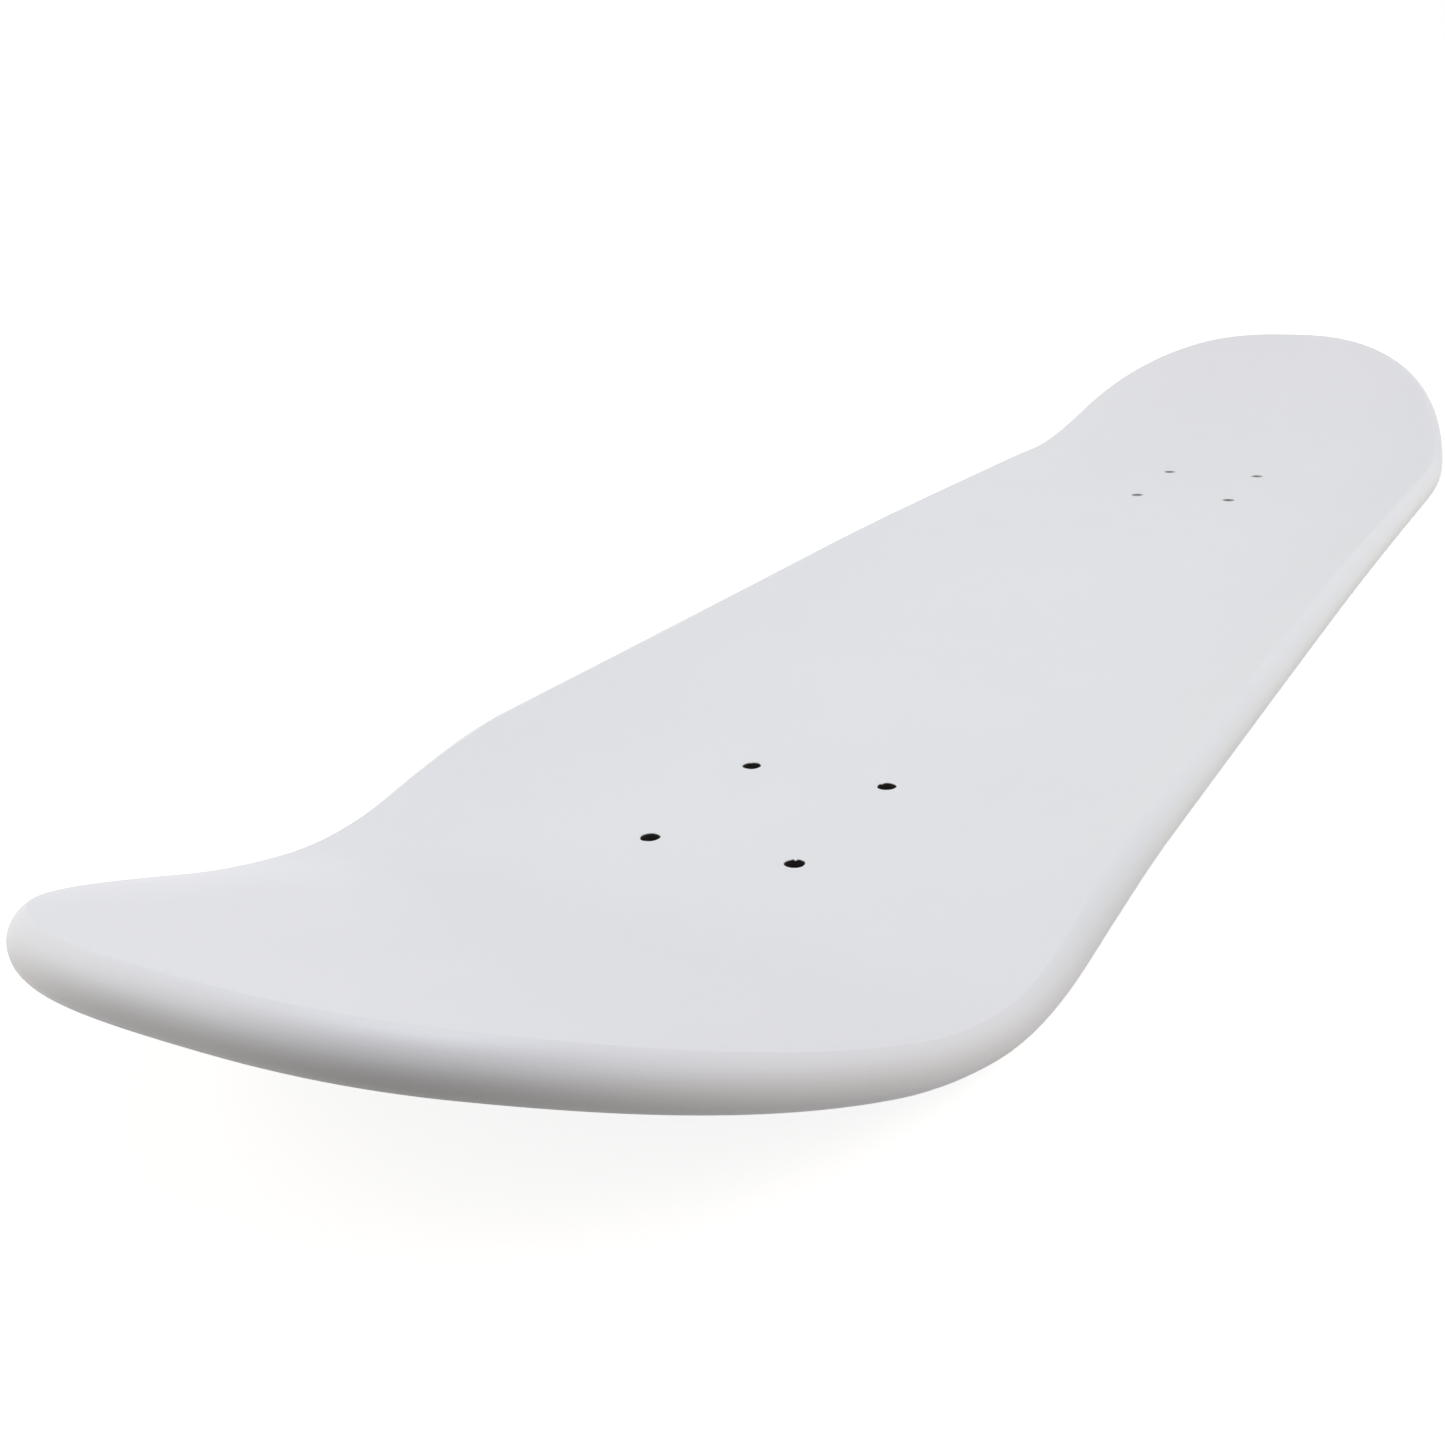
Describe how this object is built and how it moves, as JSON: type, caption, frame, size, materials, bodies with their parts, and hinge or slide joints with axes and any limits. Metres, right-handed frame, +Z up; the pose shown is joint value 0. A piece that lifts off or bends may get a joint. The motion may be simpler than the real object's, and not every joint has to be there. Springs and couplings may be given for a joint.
{
  "type": "skateboard deck",
  "caption": "Bare pressed maple skateboard deck with two upturned ends and concave sides, painted white all over and drilled for two trucks.",
  "frame": {"origin": "on the flat middle of the underside, on the centre line and midway between the two bolt patterns", "axes": "+X along the board to the nose, the longer end; +Y to the left side seen from above; +Z up, out of the face that is stood on"},
  "size_m": [0.7975, 0.201, 0.0585],
  "materials": {
    "white_paint": "satin white paint with a faint orange peel",
    "long_grain_maple": "bare sliced maple, grain along the board",
    "cross_grain_maple": "bare sliced maple, grain across the board"
  },
  "bodies": {
    "root": {"white_paint_coat": "white_paint", "top_face_veneer": "long_grain_maple", "upper_core_veneer": "long_grain_maple", "upper_crossband_veneer": "cross_grain_maple", "centre_core_veneer": "long_grain_maple", "lower_crossband_veneer": "cross_grain_maple", "lower_core_veneer": "long_grain_maple", "bottom_face_veneer": "long_grain_maple"}
  },
  "joints": []
}
